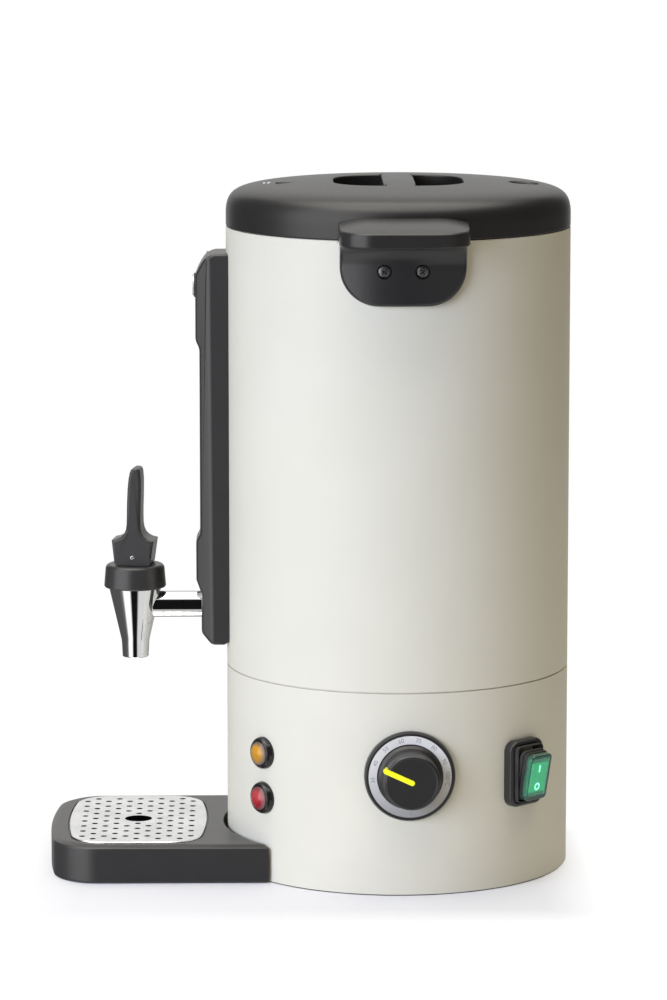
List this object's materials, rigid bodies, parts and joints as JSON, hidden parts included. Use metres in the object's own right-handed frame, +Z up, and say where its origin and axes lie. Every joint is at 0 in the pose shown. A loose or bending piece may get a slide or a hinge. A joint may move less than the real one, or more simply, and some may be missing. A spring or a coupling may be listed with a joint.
{
  "type": "hot water urn",
  "caption": "Round electric hot water urn with a lift-off lid, two side grips, a sight column, a lever tap, a drip tray, a thermostat dial and a rocker switch.",
  "frame": {"origin": "on the floor, under the middle of the whole footprint; the urn's own axis stands 65 mm behind it", "axes": "+Z up; -Y towards the tap and the drip tray; +X towards the dial and the switch"},
  "size_m": [0.357, 0.38, 0.502],
  "materials": {
    "shell_paint": "satin cream powder coat",
    "black_plastic": "satin black moulded plastic",
    "black_rubber": "matt black rubber",
    "stainless": "brushed stainless steel",
    "chrome": "polished chrome plate",
    "plated_steel": "zinc plated steel",
    "silicone": "soft grey silicone",
    "scale_metal": "fine satin silver",
    "alloy": "dull cast and drawn metal",
    "fitting_metal": "nickel plated brass",
    "copper": "bare copper",
    "moulding": "heat resistant moulding",
    "wire_jacket": "plastic wire jacket",
    "red_button": "red moulded plastic",
    "pointer_yellow": "bright yellow insert",
    "amber_lens": "translucent amber",
    "red_lens": "translucent red",
    "green_rocker": "glossy green",
    "green_cover": "translucent green",
    "clear": "clear"
  },
  "bodies": {
    "casing": {"outer_shell": "shell_paint", "base_shell": "shell_paint", "dial_bezel": "black_plastic", "amber_lamp_housing": "black_plastic", "red_lamp_housing": "black_plastic", "switch_housing": "black_plastic", "right_grip": "black_plastic", "right_bracket": "black_plastic", "left_grip": "black_plastic", "left_bracket": "black_plastic", "sight_cover": "black_plastic", "tap_bonnet": "black_plastic", "cable_gland": "black_plastic", "gland_nut": "black_plastic", "foot_ring": "black_rubber", "switch_collar": "black_rubber", "inner_tank": "stainless", "base_plate": "stainless", "heat_shield": "stainless", "sight_plug": "stainless", "tap_body": "chrome", "tap_nut": "chrome", "base_screws": "plated_steel", "tie_rods": "plated_steel", "handle_screws": "plated_steel", "rim_ring": "silicone", "tap_washer": "silicone", "sight_seals": "silicone", "dial_scale_ring": "scale_metal", "heat_spreader": "alloy", "heating_element": "alloy", "sight_upper_fitting": "fitting_metal", "sight_lower_fitting": "fitting_metal", "thermostat_bulb": "copper", "thermostat_body": "moulding", "thermal_cutout": "moulding", "terminal_block": "moulding", "wiring": "wire_jacket", "amber_lamp_lens": "amber_lens", "red_lamp_lens": "red_lens", "sight_window": "clear", "sight_tube": "clear"},
    "lid_seal": {"lid_seal": "silicone"},
    "lid": {"lid_cover": "black_plastic", "lid_inner_plate": "stainless", "lid_vent": "black_plastic"},
    "tap_cup": {"tap_seat_cup": "silicone", "tap_spring": "plated_steel"},
    "tap_stem": {"tap_stem": "plated_steel"},
    "tap_lever": {"tap_lever": "black_plastic", "tap_lever_pin": "chrome"},
    "knob": {"knob": "black_plastic", "knob_pointer": "pointer_yellow", "thermostat_shaft": "stainless"},
    "rocker": {"switch_rocker": "green_rocker", "switch_cover": "green_cover"},
    "reset_button": {"reset_button": "red_button"},
    "tray": {"tray_body": "black_plastic"},
    "grille": {"tray_grille": "stainless"}
  },
  "joints": [
    {"name": "lid_lift", "type": "slide", "parent": "casing", "child": "lid_seal", "axis": [0, 0, 1], "range_m": [0, 0.12]},
    {"name": "lid_turn", "type": "hinge", "parent": "lid_seal", "child": "lid", "pos_m": [0, 0.065, 0.469], "axis": [0, 0, 1], "range_deg": [0, 25]},
    {"name": "tap_stem_lift", "type": "slide", "parent": "casing", "child": "tap_cup", "axis": [0, 0, 1], "range_m": [0, 0.005], "deforming": ["tap_spring"]},
    {"name": "tap_swivel", "type": "hinge", "parent": "tap_cup", "child": "tap_stem", "pos_m": [0, -0.1273, 0.2], "axis": [0, 0, 1], "continuous": true},
    {"name": "tap_lever_tilt", "type": "hinge", "parent": "tap_stem", "child": "tap_lever", "pos_m": [0, -0.1273, 0.226], "axis": [0.9903, -0.1392, 0], "range_deg": [0, 30]},
    {"name": "knob_turn", "type": "hinge", "parent": "casing", "child": "knob", "pos_m": [0.12488, 0.07045, 0.0875], "axis": [0.999, 0.0436, 0], "range_deg": [-158, 115]},
    {"name": "switch_rock", "type": "hinge", "parent": "casing", "child": "rocker", "pos_m": [0.09495, 0.1567, 0.083], "axis": [-0.6947, 0.7193, 0], "range_deg": [-22, 0]},
    {"name": "reset_press", "type": "slide", "parent": "casing", "child": "reset_button", "axis": [0, 0, 1], "range_m": [0, 0.002], "stiffness_N_per_m": 300, "springref_m": -0.003},
    {"name": "tray_slide", "type": "slide", "parent": "casing", "child": "tray", "axis": [0, -1, 0], "range_m": [0, 0.13]},
    {"name": "grille_lift", "type": "slide", "parent": "tray", "child": "grille", "axis": [0, 0, 1], "range_m": [0, 0.06]}
  ],
  "couplings": [
    {"joint": "tap_stem_lift", "follows": "tap_lever_tilt", "m_per_rad": 0.0095}
  ]
}
